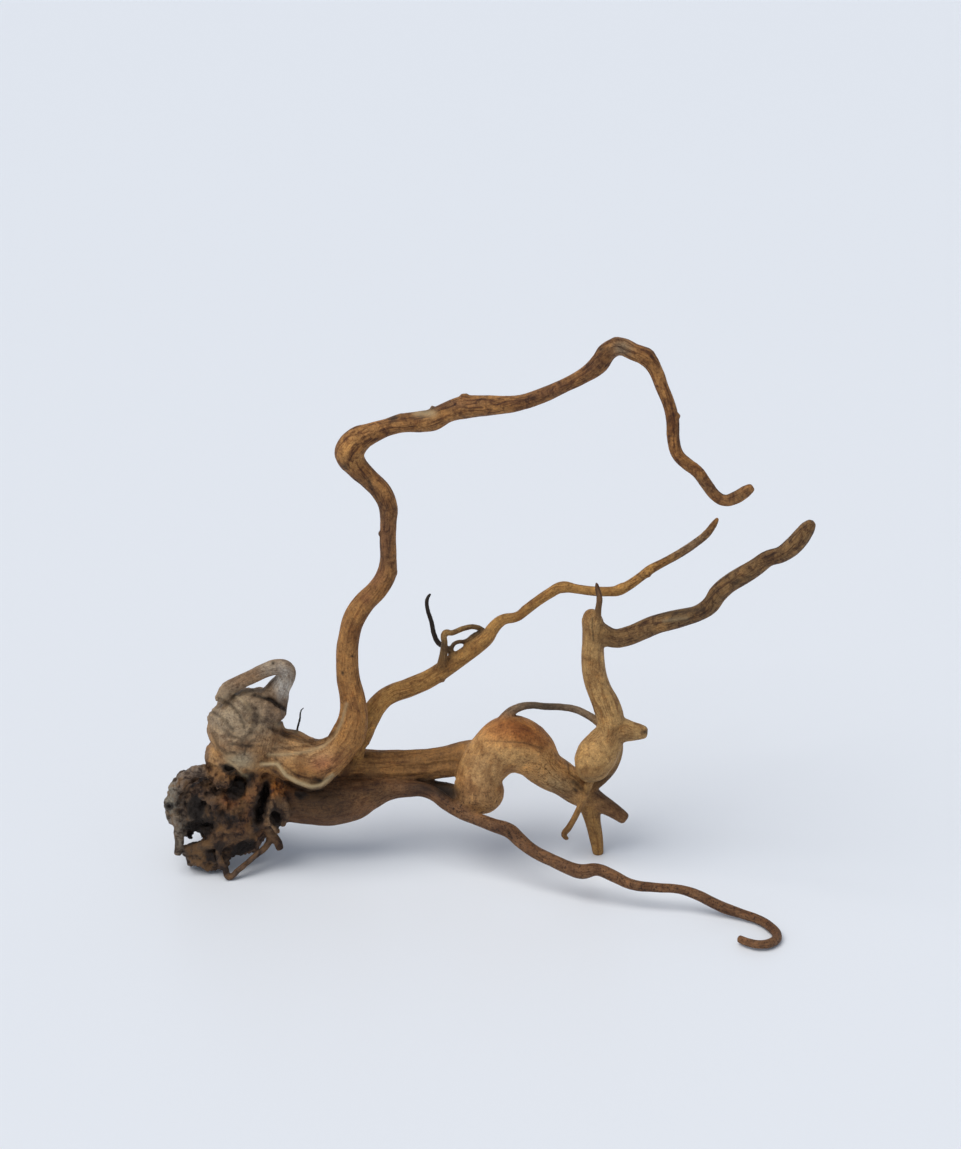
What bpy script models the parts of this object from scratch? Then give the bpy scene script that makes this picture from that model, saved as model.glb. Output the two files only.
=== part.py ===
"""A dry tree root, washed clean and weathered, lying on a table. It is one piece of wood that grew in one
piece.

A knotted burl and a half rotten stump stand on the left. From them a tall root rises and bends over to
the right, a middle root runs out behind it, and a trunk runs along the table to a thick hump. Past the
hump the wood stands on a forked leg and rises again as a stem with a side root, and a long thin root
trails forward to a hooked end.

Sizes are in millimetres. Every root is laid out on a drawing that leans back as a viewer sees it: a
point's first number is how far it lies across the drawing, the second how far up, the third how far
back it really stands from the front foot, and the last is the radius of the wood there.
"""

import math

import bmesh
import bpy
import numpy as np
from mathutils import Matrix, Vector, kdtree, noise

# The drawing: how far it leans back, how far off its eye is, and how high on it the eye's own line
# falls
UNIT = 0.001
LEAN = math.radians(24)
EYE_DISTANCE = 2600
EYE_UP = 305.5

# The fused skin and the finished solid
SKIN_STEP = 1.7
TRIANGLES = 11200
GRAIN_WAVE = 26
GRAIN_SWELL = 0.9
ROT_WAVE = 9
ROT_SWELL = 3.4
THIN_RADIUS = 4.0
THICK_RADIUS = 9.0

# The tall root leaves the burl as a wide flare, turns up, kinks left at shoulder height and bends over
# at the top
TALL_ROOT = [
    (-237, 138, 40, 22), (-215, 132, 38, 24), (-190, 124, 34, 25), (-168, 119, 32, 24),
    (-147, 127, 32, 20), (-133, 144, 34, 17.5), (-127, 163, 38, 15), (-128, 180, 42, 13.3),
    (-132, 198, 46, 12), (-133.5, 220, 50, 11), (-132, 240, 54, 11), (-127, 260, 58, 11.3),
    (-117, 277, 62, 11.3), (-103, 291, 66, 11), (-94, 307, 70, 10.5), (-92, 322, 74, 8.9),
    (-92.5, 340, 78, 8.7), (-92, 358, 82, 8.5), (-92, 373, 86, 9.5), (-98, 387, 90, 10.5),
    (-112, 401, 95, 10), (-124, 413, 99, 12), (-131, 427, 101, 16), (-124, 439, 101, 14),
    (-109, 447, 99, 10.7), (-94, 452.5, 96, 8.9), (-79, 457, 92, 9.6), (-60, 458.5, 87, 11.2),
    (-47, 460.5, 83, 11), (-33, 467.5, 79, 10.4), (-17, 472.5, 74, 11.4), (4, 474.5, 68, 11),
    (22, 475, 62, 9), (42, 478, 56, 8), (62, 484.5, 50, 7.8), (82, 493.5, 44, 7.8), (102, 504, 38, 8.2),
    (118, 516, 33, 10), (129, 530, 29, 9.6), (140, 533.5, 26, 9), (153, 528, 23, 8.6),
    (166, 522, 20, 9), (175, 509.5, 17, 7.2), (181.5, 492.5, 14, 6.6), (188, 477, 10, 6.6),
    (192, 460, 6, 6.9), (193, 440, 2, 6.4), (197.5, 425, -2, 6.6), (206, 416.5, -5, 6.6),
    (217, 408, -9, 6.4), (226, 396, -13, 6.3), (235, 384.5, -17, 6.3), (244, 379.5, -20, 6.3),
    (255, 382.5, -22, 6.8), (265, 388.5, -24, 6.6), (272, 393, -26, 5),
]

# The middle root comes out behind the tall one and thins to a twig
MIDDLE_ROOT = [
    (-130, 126, 48, 13), (-121, 142, 56, 11.5), (-112, 160, 62, 10.8), (-100, 178, 68, 10.3),
    (-88, 186.5, 73, 10), (-70, 193, 79, 9.8), (-52, 201, 85, 9.6), (-39, 209, 89, 9.6),
    (-18, 223, 94, 8.8), (-4, 233.5, 97, 8.2), (6, 242, 99, 7.4), (13, 252, 101, 6.6),
    (23, 260.5, 102, 5.7), (36, 263, 102, 5), (46, 270.5, 101, 5.4), (56, 278, 100, 5.2),
    (69, 286.5, 98, 5.4), (82, 293, 95, 5.9), (96, 291, 92, 4.9), (112, 289, 88, 4.9),
    (127, 288.5, 85, 4.9), (138, 289.5, 84, 5.4), (148, 294.5, 84, 5.2), (160, 303, 86, 4.7),
    (170, 310.5, 88, 4.9), (185, 318.5, 92, 4.3), (200, 327, 96, 4.2), (215, 337, 100, 4.3),
    (226, 346, 103, 4.1), (233, 355, 106, 3.5), (237.5, 362, 108, 1.8),
]
MIDDLE_STUB = [
    (-39, 212, 86, 6), (-37, 225, 85, 4.3), (-36, 237, 84, 3.3), (-35.5, 247, 84, 3.2),
    (-29, 247, 88, 3), (-17, 251.5, 97, 2.8), (-5, 253, 105, 2.7), (5, 248, 108, 2.6),
    (12, 242, 103, 2.5),
]
MIDDLE_HORN = [
    (-28, 225, 97, 3), (-34, 232, 99, 2.8), (-42, 237, 101, 2.7), (-46.5, 246, 103, 2.6),
    (-49, 258, 105, 2.5), (-53, 271, 107, 2.4), (-53.5, 280, 109, 2.2), (-50, 286.5, 110, 1.3),
]
MIDDLE_TWIG = [
    (-30, 223, 96, 2.6), (-27.5, 235, 99, 2.3), (-24, 237.5, 100, 2.2), (-15, 239, 103, 2.2),
    (-5, 246, 106, 2.2), (4, 248.5, 108, 2.2),
]

# The trunk runs from the foot of the tall root into the back of the hump
TRUNK = [
    (-145, 112, 58, 16), (-124, 115.5, 60, 16), (-100, 114.5, 60, 16.5), (-75, 115, 60, 16.5),
    (-52, 116.5, 60, 16.5), (-30, 119, 61, 17), (-10, 123, 62, 17.5), (8, 123, 60, 18),
]

TRUNK_KEEL = [(-72, 101, 58, 11), (-58, 97, 58, 9.5), (-46, 92.5, 57, 8), (-38, 91, 56, 6.5)]

# The front root swells into a belly under the trunk, then trails forward and lies down in a hook
FRONT_ROOT = [
    (-218, 80, 48, 22), (-195, 82, 47, 24), (-172, 81, 46, 25.5), (-148, 80, 45, 26.5),
    (-127, 83, 45, 23.5), (-110, 88, 45, 18), (-92, 91.5, 44, 12), (-74, 91.5, 42, 9),
    (-58, 90.5, 37, 7.5), (-46, 86, 31, 7.3), (-34, 77, 25, 7.4), (-21, 68.5, 19, 7), (-6, 62, 13, 6.5),
    (12, 55, 6, 7), (29, 49, -2, 7.8), (39, 40, -8, 7.5), (53, 29, -16, 6.8), (72, 19.5, -24, 6.2),
    (88, 12, -31, 7), (101, 8.5, -37, 7.8), (117, 10.5, -42, 6.3), (132, 4.5, -46, 6.4),
    (151, -4.5, -51, 5.8), (175, -7.5, -55, 4.9), (200, -9.5, -58, 4.9), (217, -15, -62, 5.4),
    (232, -22.5, -66, 5.5), (244, -28, -69, 5.7), (262, -34, -76, 5), (278, -39.5, -84, 4.9),
    (290, -47, -97, 5), (296.5, -55.5, -111, 5.2), (291, -62.5, -125, 4.8), (280, -64.5, -130, 4.4),
    (268, -62.5, -126, 4.2), (258, -58.5, -118, 3.9),
]

# The hump: a bulge hangs below its left side, and an arm leaves it on the right
HUMP = [
    (6, 81, 36, 17), (-1, 88, 36, 25), (-1, 105, 40, 24), (11, 124, 46, 26), (30, 136, 50, 30),
    (51, 127, 52, 25.5), (66, 111, 52, 19.5), (84, 100, 52, 17), (97, 89, 52, 15), (108, 81, 52, 13),
]
BRIDGE_TWIG = [
    (20, 154, 52, 8), (27, 165, 55, 5.5), (36, 171.5, 58, 4.3), (50, 174.7, 64, 3.8),
    (65, 173.5, 69, 3.7), (80, 173, 71, 3.7), (95, 170.5, 69, 3.8), (108, 164.5, 62, 4),
    (119, 157, 54, 4.4), (126, 150, 47, 4.6),
]

# The fork that the arm stands on: a leg to the table, a cut stub, and a thin rootlet in front
STANDING_LEG = [
    (104, 85, 52, 12), (110.5, 68, 52, 9.6), (114, 51, 53, 8), (116.5, 37, 53, 6.5), (118, 25, 54, 5.4),
]
CUT_LEG = [(104, 88, 52, 12), (120, 77, 50, 9.3), (133, 69, 48, 8), (146, 60, 46, 6.8)]
THIN_LEG = [
    (110, 102, 38, 5), (106, 90, 36, 4), (101, 77, 36, 3.6), (95, 64, 36, 3.4), (88, 52, 36, 3.3),
    (83.5, 45.5, 36, 3), (87, 40.5, 36, 1.8),
]

# The stem rises from a knob on the arm, with a cut nub on its right, a spike on top and a root to the
# right
STEM = [
    (102, 103, 36, 9), (109.5, 113, 36, 19), (116, 125, 38, 21), (124, 137, 40, 18),
    (129.5, 148, 42, 14.8), (130, 160, 43, 13.8), (126, 174, 45, 13.6), (119, 190, 47, 12.8),
    (114, 205, 48, 12.2), (112, 220, 49, 11.8), (112.5, 237, 50, 11.4), (112.5, 251, 50, 11.4),
    (112, 260, 50, 11.2), (113, 266.5, 50, 8.8), (114.5, 270, 50, 5),
]
STEM_NUB = [
    (130, 149, 43, 15), (142, 150, 41, 12.4), (153, 148.5, 39, 9.4), (161, 148, 38, 7.6),
    (167, 147.5, 37.5, 6.2),
]
STEM_STRAND = [
    (133, 145, 45, 9), (133.5, 132, 46, 9.5), (129, 117, 49, 9.5), (119, 104, 52, 9.5),
    (110, 95, 53, 9),
]
STEM_SPIKE = [
    (116, 258, 46, 4.5), (118, 272, 45, 3.4), (119, 282, 44, 3.2), (117, 291, 43, 2.7),
    (116, 297, 43, 1.5),
]
RIGHT_ROOT = [
    (114, 252, 50, 10), (124, 245, 50, 10.5), (134, 241.5, 49, 9.6), (147, 244, 48, 9.9),
    (165, 251, 45, 10.3), (183, 257.5, 41, 9.9), (201, 262, 37, 9.2), (218, 267, 33, 8.6),
    (230, 275, 30, 9.2), (237, 285, 27, 9.6), (248, 295.5, 24, 9.4), (263, 305, 20, 9.4),
    (277, 313.5, 16, 9.2), (288, 321.5, 13, 8.6), (300, 325, 10, 8.8), (311, 332.5, 7, 9.3),
    (320, 342, 4, 9), (327, 351.5, 2, 7.8), (332, 358, 0, 5.6),
]

# The crook, a bent root end that arches over the burl, and a dead twig behind the flare
CROOK = [
    (-258, 180, 36, 9), (-254, 190, 34, 7.2), (-243, 196.5, 32, 7.3), (-229, 203, 30, 7.5),
    (-216, 209.5, 30, 7.8), (-204, 213, 31, 8.4), (-194.5, 210.5, 34, 9), (-196, 200, 36, 10.5),
    (-203, 189, 36, 13.5), (-207, 178, 38, 16), (-212, 164, 40, 18),
]
DEAD_TWIG = [
    (-189, 128, 46, 3.5), (-186, 142, 58, 2.6), (-183.5, 152, 64, 2.2), (-181, 162, 68, 2),
    (-180, 169, 70, 1.8), (-176, 173.5, 71, 1.4),
]

# Ridges, rims and rootlets of the rotten stump
CALLUS_RIDGE = [
    (-218, 115, 12, 3.5), (-204, 116, 11, 3.6), (-194, 105, 10, 3.6), (-177, 96, 10, 3.8),
    (-164, 93, 12, 3.8), (-153, 99, 16, 3.5), (-144, 108, 22, 3),
]
STUMP_RIM = [
    (-272, 109, 18, 6), (-288, 107, 16, 6.5), (-301, 95, 15, 7), (-308.5, 82, 16, 7.2),
    (-309, 69, 18, 7), (-307, 56, 20, 5),
]
STUMP_LEDGE = [
    (-296, 31, 18, 5), (-284, 33, 14, 5), (-268, 36, 11, 5.5), (-252, 40, 12, 5), (-234, 49, 12, 5.5),
    (-219, 58, 14, 5),
]
STUMP_STRIP = [(-303, 66, 12, 5), (-302, 50, 12, 5), (-301, 36, 12, 4.8), (-303, 25, 10, 4.2)]
FRONT_ROOTLET = [
    (-250, 40, 8, 3.6), (-261, 31, 4, 3.4), (-261, 21, 2, 3.4), (-255, 11, 1, 3.3), (-252, 3, 0, 3.3),
    (-242, 10, 3, 3), (-228, 22, 10, 3), (-212, 37, 18, 3.4),
]
STUMP_FINGER = [(-212, 49, 20, 5), (-203, 38, 17, 4.6), (-200, 30, 15, 4.2)]
STUMP_SPLINTER = [(-212, 72, 10, 3), (-209, 58, 8, 2.8), (-202, 47, 8, 3)]
STUMP_FLAKE = [(-198, 84, 20, 4), (-194, 68, 18, 4.6), (-199, 54, 16, 3.4)]
BELLY_TWIG = [(-190, 92, 14, 3.4), (-186, 80, 10, 2.8), (-179, 66, 9, 2)]
STUMP_STRAND = [(-226, 108, 22, 8), (-229, 90, 16, 7), (-230, 70, 16, 7), (-226, 50, 20, 7)]
BACK_FOOT = [(-235, 95, 72, 14), (-232, 78, 84, 11), (-230, 62, 93, 8.5), (-230, 47, 98, 6.5)]

ROUTES = [
    TALL_ROOT, MIDDLE_ROOT, MIDDLE_STUB, MIDDLE_HORN, MIDDLE_TWIG, TRUNK, TRUNK_KEEL, FRONT_ROOT, HUMP,
    BRIDGE_TWIG, STANDING_LEG, CUT_LEG, THIN_LEG, STEM, STEM_NUB, STEM_STRAND, STEM_SPIKE, RIGHT_ROOT,
    CROOK, DEAD_TWIG, CALLUS_RIDGE, STUMP_RIM, STUMP_LEDGE, STUMP_STRIP, FRONT_ROOTLET, STUMP_FINGER,
    STUMP_SPLINTER, STUMP_FLAKE, BELLY_TWIG, STUMP_STRAND, BACK_FOOT,
]

# Masses of the burl, the stump and the hump's foot, and the hollows that rot has left: a centre on the
# drawing, how far it reaches across, up and back, and its turn on the drawing in degrees, anticlockwise
MASSES = [
    (-235, 152, 40, 38, 40, 37, 0),
    (-213, 168, 24, 18, 12, 16, -18),
    (-226, 178, 38, 24, 15, 22, 5),
    (-288, 56, 46, 17, 16, 14, 0),
    (-238, 118, 32, 32, 15, 27, 0),
    (-262, 124, 36, 13, 17, 22, 0),
    (-246, 74, 44, 41, 46, 38, 0),
    (-289, 80, 44, 22, 30, 32, 8),
    (-212, 84, 38, 21, 36, 30, 0),
    (-274, 25, 24, 25, 14, 20, -8),
    (-246, 46, 34, 32, 22, 26, 12),
    (-259, 104, 20, 14, 13, 12, 0),
    (-279, 90, 20, 14, 11, 12, 20),
    (-262, 78, 14, 12, 9, 9, -15),
    (-245, 64, 13, 9, 13, 9, 10),
    (2, 88, 36, 22, 22, 22, 0),
]
HOLLOWS = [
    (-287.5, 42, 16, 7.5, 4.4, 60, 10),
    (-279, 53, 8, 15, 6.5, 20, 8),
    (-219, 74, 8, 5.5, 26, 24, -13),
    (-244, 91, 6, 7, 10, 20, -22),
    (-285, 72, 4, 7, 10, 13, 0),
    (-252, 111, 6, 5, 3.5, 12, -20),
    (-311, 74, 8, 2.6, 2.2, 12, 0),
    (-205, 62, 10, 4, 9, 12, 15),
    (-180, 86, 16, 4.5, 4, 10, 0),
    (-238, 32, 2, 12, 4, 14, 35),
]


def place(across, up, back):
    """Where a point of the drawing really is, in metres, and how much its size grows on the way there."""
    slope = math.cos(LEAN) + (up - EYE_UP) * math.sin(LEAN) / EYE_DISTANCE
    deep = (back - up * math.sin(LEAN)) / slope
    grow = 1 + deep / EYE_DISTANCE
    rise = EYE_UP + (up - EYE_UP) * grow
    height = rise * math.cos(LEAN) - deep * math.sin(LEAN)
    return Vector((across * grow, back, height)) * UNIT, grow


def clear_scene():
    for old in list(bpy.data.objects):
        bpy.data.objects.remove(old, do_unlink=True)


def add_limb(route):
    """One length of wood: a smooth curve through the route's points, as thick at each as the route says."""
    curve = bpy.data.curves.new("limb", "CURVE")
    curve.dimensions = "3D"
    curve.resolution_u = 5
    curve.bevel_depth = UNIT
    curve.bevel_resolution = 4
    curve.use_fill_caps = True
    spline = curve.splines.new("BEZIER")
    spline.bezier_points.add(len(route) - 1)
    for point, (across, up, back, radius) in zip(spline.bezier_points, route):
        point.co, grow = place(across, up, back)
        point.radius = radius * grow
        point.handle_left_type = point.handle_right_type = "AUTO"
    limb = bpy.data.objects.new("limb", curve)
    bpy.context.scene.collection.objects.link(limb)
    return limb


def add_blob(across, up, back, reach_across, reach_up, reach_back, turn):
    """A rounded mass, or the shape of a hollow, that stands square to the drawing and is turned on it."""
    centre, grow = place(across, up, back)
    bpy.ops.mesh.primitive_ico_sphere_add(subdivisions=4, radius=grow * UNIT)
    blob = bpy.context.object
    lean = Matrix.Rotation(-LEAN, 4, "X") @ Matrix.Rotation(-math.radians(turn), 4, "Y")
    size = Matrix.Diagonal((reach_across, reach_back, reach_up, 1))
    blob.matrix_world = Matrix.Translation(centre) @ lean @ size
    return blob


def fuse(parts, name):
    """The parts as one object, still made of separate skins that run through each other."""
    bpy.ops.object.select_all(action="DESELECT")
    for part in parts:
        part.select_set(True)
    bpy.context.view_layer.objects.active = parts[0]
    bpy.ops.object.convert(target="MESH")
    bpy.ops.object.join()
    whole = bpy.context.object
    whole.name = whole.data.name = name
    bpy.ops.object.transform_apply(location=True, rotation=True, scale=True)
    return whole


def apply(wood, kind, **settings):
    """Adds a modifier to the wood and applies it."""
    modifier = wood.modifiers.new(kind.title(), kind)
    for setting, value in settings.items():
        setattr(modifier, setting, value)
    bpy.context.view_layer.objects.active = wood
    bpy.ops.object.modifier_apply(modifier=modifier.name)


def keep_largest_skin(wood):
    """Keeps the outer skin alone: a sealed bubble inside it is filled and a loose crumb is dropped."""
    mesh = bmesh.new()
    mesh.from_mesh(wood.data)
    waiting = set(mesh.verts)
    skins = []
    while waiting:
        front = [waiting.pop()]
        skin = set(front)
        while front:
            vertex = front.pop()
            for edge in vertex.link_edges:
                other = edge.other_vert(vertex)
                if other in waiting:
                    waiting.discard(other)
                    skin.add(other)
                    front.append(other)
        skins.append(skin)
    skins.sort(key=len)
    for skin in skins[:-1]:
        bmesh.ops.delete(mesh, geom=list(skin), context="VERTS")
    mesh.to_mesh(wood.data)
    mesh.free()


def weigh_thickness(wood):
    """Marks how thick the wood is at each vertex, so that smoothing spares the twigs."""
    samples = [(place(*point[:3])[0], point[3]) for route in ROUTES for point in route]
    tree = kdtree.KDTree(len(samples))
    for index, (centre, _) in enumerate(samples):
        tree.insert(centre, index)
    tree.balance()
    group = wood.vertex_groups.new(name="thick")
    for vertex in wood.data.vertices:
        _, index, _ = tree.find(vertex.co)
        weight = (samples[index][1] - THIN_RADIUS) / (THICK_RADIUS - THIN_RADIUS)
        group.add([vertex.index], min(1.0, max(0.0, weight)), "REPLACE")


def rotten(co):
    """How rotten and knotted the wood is: 1 in the burl and stump on the left, 0 in the sound roots."""
    edge, sound, crook_foot, crook = -0.222, -0.190, 0.190, 0.205
    left = min(1.0, max(0.0, (sound - co.x) / (sound - edge)))
    return left * min(1.0, max(0.0, (crook - co.z) / (crook - crook_foot)))


def gnarl(wood):
    """Swells and sinks the skin: long low waves on sound wood, short deep ones on the rotten end."""
    settled = []
    normals = [vertex.normal.copy() for vertex in wood.data.vertices]
    for vertex, normal in zip(wood.data.vertices, normals):
        co = vertex.co.copy()
        low = noise.noise(co / (GRAIN_WAVE * UNIT))
        rot = noise.fractal(co / (ROT_WAVE * UNIT), 0.9, 2.0, 3)
        weight = vertex.groups[0].weight if vertex.groups else 0.0
        swell = GRAIN_SWELL * low * (0.3 + 0.7 * weight) + ROT_SWELL * rot * rotten(co) * weight
        settled.append(co + normal * (swell * UNIT))
    wood.data.vertices.foreach_set("co", [number for place_now in settled for number in place_now])
    wood.data.update()


def flatten_feet(wood):
    """Wears off what reaches below the table, which leaves a small flat spot on each foot."""
    mesh = bmesh.new()
    mesh.from_mesh(wood.data)
    everything = mesh.verts[:] + mesh.edges[:] + mesh.faces[:]
    table = {"plane_co": (0, 0, 0), "plane_no": (0, 0, -1)}
    bmesh.ops.bisect_plane(mesh, geom=everything, dist=1e-7, clear_outer=True, **table)
    rims = [edge for edge in mesh.edges if edge.is_boundary]
    bmesh.ops.holes_fill(mesh, edges=rims)
    bmesh.ops.triangulate(mesh, faces=[face for face in mesh.faces if len(face.verts) > 3])
    mesh.to_mesh(wood.data)
    mesh.free()


def centre_on_table(wood):
    """Moves the wood sideways so that the origin is under the middle of its box."""
    corners = np.array([vertex.co for vertex in wood.data.vertices])
    middle = (corners.min(0) + corners.max(0)) / 2
    wood.data.transform(Matrix.Translation((-middle[0], -middle[1], 0)))


def dry_wood():
    material = bpy.data.materials.new("dry_wood")
    material.use_nodes = True
    surface = material.node_tree.nodes["Principled BSDF"]
    surface.inputs["Base Color"].default_value = (0.235, 0.145, 0.066, 1)
    surface.inputs["Roughness"].default_value = 0.62
    surface.inputs["Metallic"].default_value = 0.0
    return material


def build_root():
    clear_scene()
    limbs = [add_limb(route) for route in ROUTES]
    masses = [add_blob(*mass) for mass in MASSES]
    wood = fuse(limbs + masses, "dry_root")
    apply(wood, "REMESH", mode="VOXEL", voxel_size=SKIN_STEP * UNIT)
    rot = fuse([add_blob(*hollow) for hollow in HOLLOWS], "rot")
    apply(rot, "REMESH", mode="VOXEL", voxel_size=SKIN_STEP * UNIT)
    apply(wood, "BOOLEAN", operation="DIFFERENCE", object=rot, solver="MANIFOLD")
    bpy.data.objects.remove(rot)
    apply(wood, "REMESH", mode="VOXEL", voxel_size=SKIN_STEP * UNIT)
    keep_largest_skin(wood)
    weigh_thickness(wood)
    apply(wood, "SMOOTH", factor=0.5, iterations=6, vertex_group="thick")
    gnarl(wood)
    faces = len(wood.data.polygons) * 2
    apply(wood, "DECIMATE", ratio=TRIANGLES / faces, use_collapse_triangulate=True)
    flatten_feet(wood)
    centre_on_table(wood)
    wood.vertex_groups.clear()
    wood.data.shade_smooth()
    wood.data.materials.append(dry_wood())


build_root()
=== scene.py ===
"""A dry tree root, washed clean and weathered, lying on a pale table. It is one piece of wood that grew in one piece."""

import math

import bmesh
import bpy
import numpy as np
from mathutils import Matrix, Vector, noise


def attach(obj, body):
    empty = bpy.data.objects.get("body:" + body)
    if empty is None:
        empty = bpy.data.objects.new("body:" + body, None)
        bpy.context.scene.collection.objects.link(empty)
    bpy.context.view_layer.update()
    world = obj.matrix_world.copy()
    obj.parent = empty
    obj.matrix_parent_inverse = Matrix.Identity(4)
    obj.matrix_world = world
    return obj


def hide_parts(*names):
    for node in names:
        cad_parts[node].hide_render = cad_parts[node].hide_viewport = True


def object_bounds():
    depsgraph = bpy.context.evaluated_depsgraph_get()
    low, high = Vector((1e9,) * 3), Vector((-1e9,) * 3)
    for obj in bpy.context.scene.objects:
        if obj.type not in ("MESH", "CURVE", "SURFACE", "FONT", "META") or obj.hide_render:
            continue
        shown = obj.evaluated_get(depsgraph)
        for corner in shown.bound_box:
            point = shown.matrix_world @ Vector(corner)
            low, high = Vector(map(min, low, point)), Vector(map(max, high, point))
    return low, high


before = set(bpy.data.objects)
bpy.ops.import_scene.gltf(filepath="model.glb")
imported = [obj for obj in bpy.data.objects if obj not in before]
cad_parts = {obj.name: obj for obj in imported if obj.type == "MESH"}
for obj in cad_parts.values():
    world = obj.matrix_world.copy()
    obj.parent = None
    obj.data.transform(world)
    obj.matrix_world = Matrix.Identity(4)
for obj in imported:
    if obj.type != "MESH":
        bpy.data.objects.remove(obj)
cad_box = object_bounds()
bpy.ops.object.select_all(action="DESELECT")

# The drawing that the roots are laid out on. It leans back as a standing viewer sees the table, through the root's
# front foot. A point's first number is how far it lies across, the second how far up, the third how far back it
# really stands, and the last is the radius of the wood there, all in millimetres. The camera is the drawing's eye.
UNIT = 0.001
LEAN = math.radians(24)
EYE_DISTANCE = 2600
EYE_UP = 305.5
FRAME_HIGH = 1149
MIDDLE = Vector((0.000165507, -0.00884259, 0))


def place(across, up, back):
    """Where a point of the drawing really is, in metres, and how much its size grows or shrinks on the way."""
    deep = (back - up * math.sin(LEAN)) / (math.cos(LEAN) + (up - EYE_UP) * math.sin(LEAN) / EYE_DISTANCE)
    grow = 1 + deep / EYE_DISTANCE
    rise = EYE_UP + (up - EYE_UP) * grow
    height = rise * math.cos(LEAN) - deep * math.sin(LEAN)
    return Vector((across * grow, back, height)) * UNIT, grow


eye = Vector((0, EYE_UP * math.sin(LEAN) - EYE_DISTANCE * math.cos(LEAN), 0)) * UNIT
eye.z = (EYE_UP * math.cos(LEAN) + EYE_DISTANCE * math.sin(LEAN)) * UNIT
bpy.ops.object.camera_add(location=eye - MIDDLE, rotation=(math.pi / 2 - LEAN, 0, 0))
camera = bpy.context.object
camera.data.sensor_fit = "VERTICAL"
camera.data.sensor_height = 36
camera.data.lens = 36 * EYE_DISTANCE / FRAME_HIGH
camera.data.clip_end = 60
bpy.context.scene.camera = camera
bpy.ops.object.select_all(action="DESELECT")

# The tall root: bare wood, its bark long gone, tan with a lengthwise grain. It leaves the burl as a wide flare with
# grooves along it, turns up, kinks left at shoulder height and bends over at the top.
TALL_ROOT = [
    (-237, 138, 40, 22), (-215, 132, 38, 24), (-190, 124, 34, 25), (-168, 119, 32, 24),
    (-147, 127, 32, 20), (-133, 144, 34, 17.5), (-127, 163, 38, 15), (-128, 180, 42, 13.3),
    (-132, 198, 46, 12), (-133.5, 220, 50, 11), (-132, 240, 54, 11), (-127, 260, 58, 11.3),
    (-117, 277, 62, 11.3), (-103, 291, 66, 11), (-94, 307, 70, 10.5), (-92, 322, 74, 8.9),
    (-92.5, 340, 78, 8.7), (-92, 358, 82, 8.5), (-92, 373, 86, 9.5), (-98, 387, 90, 10.5),
    (-112, 401, 95, 10), (-124, 413, 99, 12), (-131, 427, 101, 16), (-124, 439, 101, 14),
    (-109, 447, 99, 10.7), (-94, 452.5, 96, 8.9), (-79, 457, 92, 9.6), (-60, 458.5, 87, 11.2),
    (-47, 460.5, 83, 11), (-33, 467.5, 79, 10.4), (-17, 472.5, 74, 11.4), (4, 474.5, 68, 11),
    (22, 475, 62, 9), (42, 478, 56, 8), (62, 484.5, 50, 7.8), (82, 493.5, 44, 7.8), (102, 504, 38, 8.2),
    (118, 516, 33, 10), (129, 530, 29, 9.6), (140, 533.5, 26, 9), (153, 528, 23, 8.6),
    (166, 522, 20, 9), (175, 509.5, 17, 7.2), (181.5, 492.5, 14, 6.6), (188, 477, 10, 6.6),
    (192, 460, 6, 6.9), (193, 440, 2, 6.4), (197.5, 425, -2, 6.6), (206, 416.5, -5, 6.6),
    (217, 408, -9, 6.4), (226, 396, -13, 6.3), (235, 384.5, -17, 6.3), (244, 379.5, -20, 6.3),
    (255, 382.5, -22, 6.8), (265, 388.5, -24, 6.6), (272, 393, -26, 5),
]
ROUND_END = 0.7
limbs = []
grown = []


def linear(code):
    """An sRGB hex colour as linear red, green and blue."""
    part = np.array([int(code[at : at + 2], 16) for at in (0, 2, 4)]) / 255
    return np.where(part <= 0.04045, part / 12.92, ((part + 0.055) / 1.055) ** 2.4)


def grow_limb(route, colour):
    """One length of wood: a smooth curve through the route's points, as thick at each as the route says. Its end is
    worn round."""
    end = np.array(route[-1], float)
    way = end[:3] - route[-2][:3]
    inward = end[:3] - way * (1 - ROUND_END) * end[3] / np.linalg.norm(way)
    route = [*route[:-1], (*inward, end[3]), (*end[:3], ROUND_END * end[3])]
    curve = bpy.data.curves.new("limb", "CURVE")
    curve.dimensions = "3D"
    curve.resolution_u = 8
    curve.bevel_depth = UNIT
    curve.bevel_resolution = 5
    curve.use_fill_caps = True
    spline = curve.splines.new("BEZIER")
    spline.bezier_points.add(len(route) - 1)
    for point, (across, up, back, radius) in zip(spline.bezier_points, route):
        point.co, grow = place(across, up, back)
        point.radius = radius * grow
        point.handle_left_type = point.handle_right_type = "AUTO"
    limb = bpy.data.objects.new("limb", curve)
    bpy.context.scene.collection.objects.link(limb)
    limbs.append(limb)
    grown.append((route, linear(colour)))


grow_limb(TALL_ROOT, "9A6E3D")

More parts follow.
